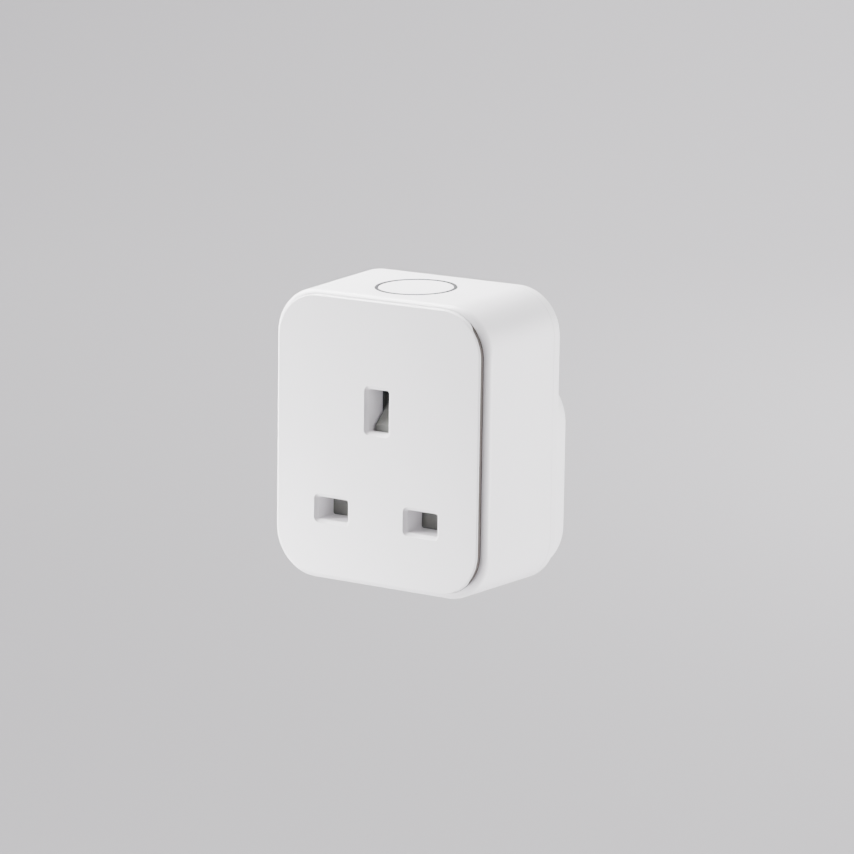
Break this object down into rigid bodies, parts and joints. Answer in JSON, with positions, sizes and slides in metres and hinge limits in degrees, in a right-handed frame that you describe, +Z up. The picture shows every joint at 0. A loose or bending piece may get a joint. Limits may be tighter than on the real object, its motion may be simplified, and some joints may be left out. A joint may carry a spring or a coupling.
{
  "type": "smart plug",
  "caption": "Smart plug adaptor: three-pin plug behind, shuttered socket in front, push button and relay inside",
  "frame": {"origin": "centre of the three-pin pattern, on the flat rear face of the plug boss", "axes": "+Y out of the rear face into the wall socket, +Z up with the earth pin above, +X to the right seen from the front"},
  "size_m": [0.054, 0.0582, 0.063],
  "materials": {
    "shell_white": "fine satin",
    "inner_grey": "moulded",
    "shutter_grey": "moulded",
    "black_plastic": "moulded",
    "blue_plastic": "smooth",
    "diffuser": "translucent",
    "pin_brass": "polished",
    "contact_metal": "plain",
    "coil_wire": "enamelled",
    "steel": "plated",
    "silver": "plated",
    "board_green": "laminate",
    "component_yellow": "dipped"
  },
  "bodies": {
    "base": {"board_connector": "black_plastic", "button_board": "board_green", "capacitor_1": "black_plastic", "capacitor_2": "black_plastic", "case_screw_1": "steel", "case_screw_2": "steel", "case_screw_3": "steel", "case_screw_4": "steel", "clamp_screw_1": "steel", "clamp_screw_2": "steel", "converter_chip": "black_plastic", "earth_contact": "contact_metal", "earth_pin": "pin_brass", "earth_strap": "contact_metal", "film_capacitor": "component_yellow", "front_plate": "shell_white", "fusible_resistor": "component_yellow", "light_ring": "diffuser", "line_contact": "contact_metal", "line_in_busbar": "contact_metal", "line_out_busbar": "contact_metal", "line_pin": "pin_brass", "line_pin_sleeve": "black_plastic", "main_board": "board_green", "main_housing": "shell_white", "neutral_busbar": "contact_metal", "neutral_contact": "contact_metal", "neutral_pin": "pin_brass", "neutral_pin_sleeve": "black_plastic", "pin_clamp": "inner_grey", "power_inductor": "inner_grey", "radio_board": "board_green", "radio_shield": "steel", "rear_cover": "shell_white", "rectifier": "black_plastic", "relay_base": "black_plastic", "relay_bobbin": "shell_white", "relay_case": "blue_plastic", "relay_fixed_contact": "silver", "relay_winding": "coil_wire", "relay_yoke": "steel", "shutter_spring": "steel", "socket_carrier": "inner_grey", "status_led": "diffuser", "tact_switch_body": "black_plastic", "varistor": "blue_plastic"},
    "shutter": {"shutter": "shutter_grey"},
    "button": {"button_cap": "shell_white"},
    "plunger": {"tact_plunger": "black_plastic"},
    "armature": {"relay_armature": "steel", "relay_blade": "contact_metal"}
  },
  "joints": [
    {"name": "shutter_slide", "type": "slide", "parent": "base", "child": "shutter", "axis": [0, 0, -1], "range_m": [0, 0.0051], "stiffness_N_per_m": 60, "springref_m": -0.004, "deforming": ["shutter_spring"]},
    {"name": "button_press", "type": "slide", "parent": "base", "child": "button", "axis": [0, 0.0353, -0.9994], "range_m": [0, 0.0005], "stiffness_N_per_m": 400, "springref_m": -0.0005},
    {"name": "plunger_press", "type": "slide", "parent": "base", "child": "plunger", "axis": [0, 0, -1], "range_m": [0, 0.0005], "stiffness_N_per_m": 100, "springref_m": -0.0005},
    {"name": "armature_pivot", "type": "hinge", "parent": "base", "child": "armature", "pos_m": [-0.0165, -0.0172, 0.0273], "axis": [-1, 0, 0], "range_deg": [0, 7], "stiffness_Nm_per_rad": 0.002, "springref_deg": -5.73}
  ],
  "couplings": [
    {"joint": "plunger_press", "follows": "button_press", "ratio": 1}
  ]
}
